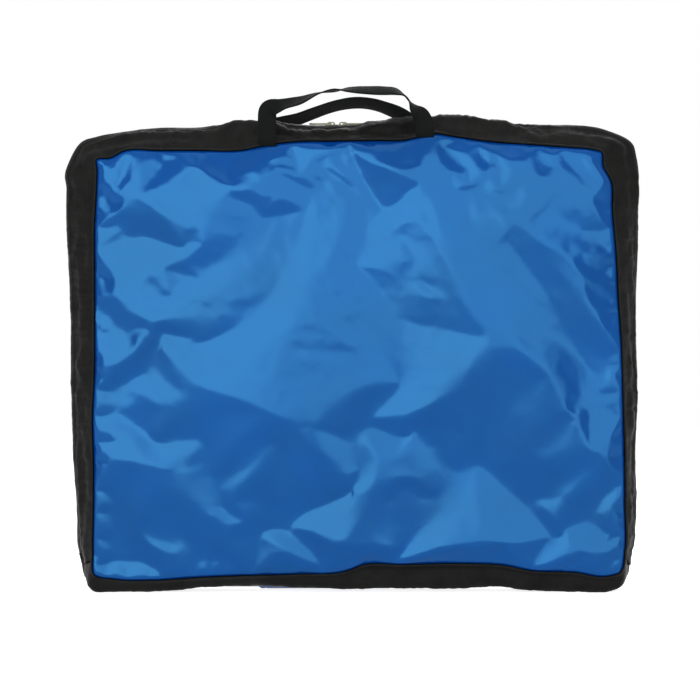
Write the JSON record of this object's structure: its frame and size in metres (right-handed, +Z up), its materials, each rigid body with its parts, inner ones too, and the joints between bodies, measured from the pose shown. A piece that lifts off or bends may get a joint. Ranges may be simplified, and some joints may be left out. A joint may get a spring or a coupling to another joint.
{
  "type": "roundnet set in a carry bag",
  "caption": "Zipped flat carry bag with webbing handles and a front that folds open, holding a roundnet set taken apart: ring sections, hoop legs, folded net, flat balls and a hand pump.",
  "frame": {"origin": "middle of the flat bottom that the bag stands on", "axes": "+Z up towards the handles, -Y out of the blue front, +X to the right as seen from the front"},
  "size_m": [0.6282, 0.1275, 0.5552],
  "materials": {
    "panel_nylon": "glossy coated blue nylon, crumpled",
    "gusset_nylon": "satin black nylon",
    "zip_tape": "black nylon coil zip on woven tape",
    "binding_tape": "black woven binding tape",
    "webbing": "black woven webbing",
    "zip_metal": "grey cast zinc, satin",
    "ring_plastic": "black moulded plastic, satin",
    "leg_plastic": "yellow moulded plastic, satin",
    "net_cord": "knotted black cord",
    "ball_rubber": "yellow rubber, matt",
    "pump_plastic": "blue moulded plastic",
    "pump_trim": "black moulded plastic",
    "needle_steel": "bright steel",
    "paper": "folded white paper"
  },
  "bodies": {
    "root": {"back_panel": "gusset_nylon", "rear_gusset": "gusset_nylon", "bottom_gusset": "gusset_nylon", "rear_zip_half": "zip_tape", "rear_seam_binding": "binding_tape", "zip_end_tab_left": "gusset_nylon", "zip_end_tab_right": "gusset_nylon", "ring_section_1": "ring_plastic", "ring_section_2": "ring_plastic", "ring_section_3": "ring_plastic", "ring_section_4": "ring_plastic", "ring_section_5": "ring_plastic", "leg_1": "leg_plastic", "leg_2": "leg_plastic", "leg_3": "leg_plastic", "leg_4": "leg_plastic", "leg_5": "leg_plastic", "folded_net": "net_cord", "ball_1": "ball_rubber", "ball_2": "ball_rubber", "ball_3": "ball_rubber", "pump_barrel": "pump_plastic", "pump_needle": "needle_steel", "rules_sheet": "paper"},
    "flap": {"front_panel": "panel_nylon", "front_gusset": "gusset_nylon", "front_zip_half": "zip_tape", "front_seam_binding": "binding_tape"},
    "front_handle": {"front_handle": "webbing"},
    "rear_handle": {"rear_handle": "webbing"},
    "slider_left": {"zip_slider_left": "zip_metal"},
    "slider_right": {"zip_slider_right": "zip_metal"},
    "pull_left": {"zip_pull_left": "zip_metal"},
    "pull_right": {"zip_pull_right": "zip_metal"},
    "plunger": {"pump_plunger": "pump_trim"}
  },
  "joints": [
    {"name": "flap_hinge", "type": "hinge", "parent": "root", "child": "flap", "pos_m": [0, -0.0373, 0.0178], "axis": [1, 0, 0], "range_deg": [0, 90]},
    {"name": "front_handle_fold", "type": "hinge", "parent": "flap", "child": "front_handle", "pos_m": [-0.015, -0.0385, 0.49034], "axis": [-1, 0, 0], "range_deg": [-150, 24]},
    {"name": "rear_handle_fold", "type": "hinge", "parent": "root", "child": "rear_handle", "pos_m": [-0.015, 0.0385, 0.49034], "axis": [1, 0, 0], "range_deg": [-125, 49]},
    {"name": "zip_slide_left", "type": "slide", "parent": "root", "child": "slider_left", "axis": [-1, 0, 0], "range_m": [0, 0.24]},
    {"name": "zip_slide_right", "type": "slide", "parent": "root", "child": "slider_right", "axis": [1, 0, 0], "range_m": [0, 0.27]},
    {"name": "pull_fold_left", "type": "hinge", "parent": "slider_left", "child": "pull_left", "pos_m": [-0.02365, 0, 0.51414], "axis": [0, 1, 0], "range_deg": [0, 115]},
    {"name": "pull_fold_right", "type": "hinge", "parent": "slider_right", "child": "pull_right", "pos_m": [-0.01035, 0, 0.51414], "axis": [0, -1, 0], "range_deg": [0, 115]},
    {"name": "plunger_slide", "type": "slide", "parent": "root", "child": "plunger", "axis": [1, 0, 0], "range_m": [0, 0.11]}
  ]
}
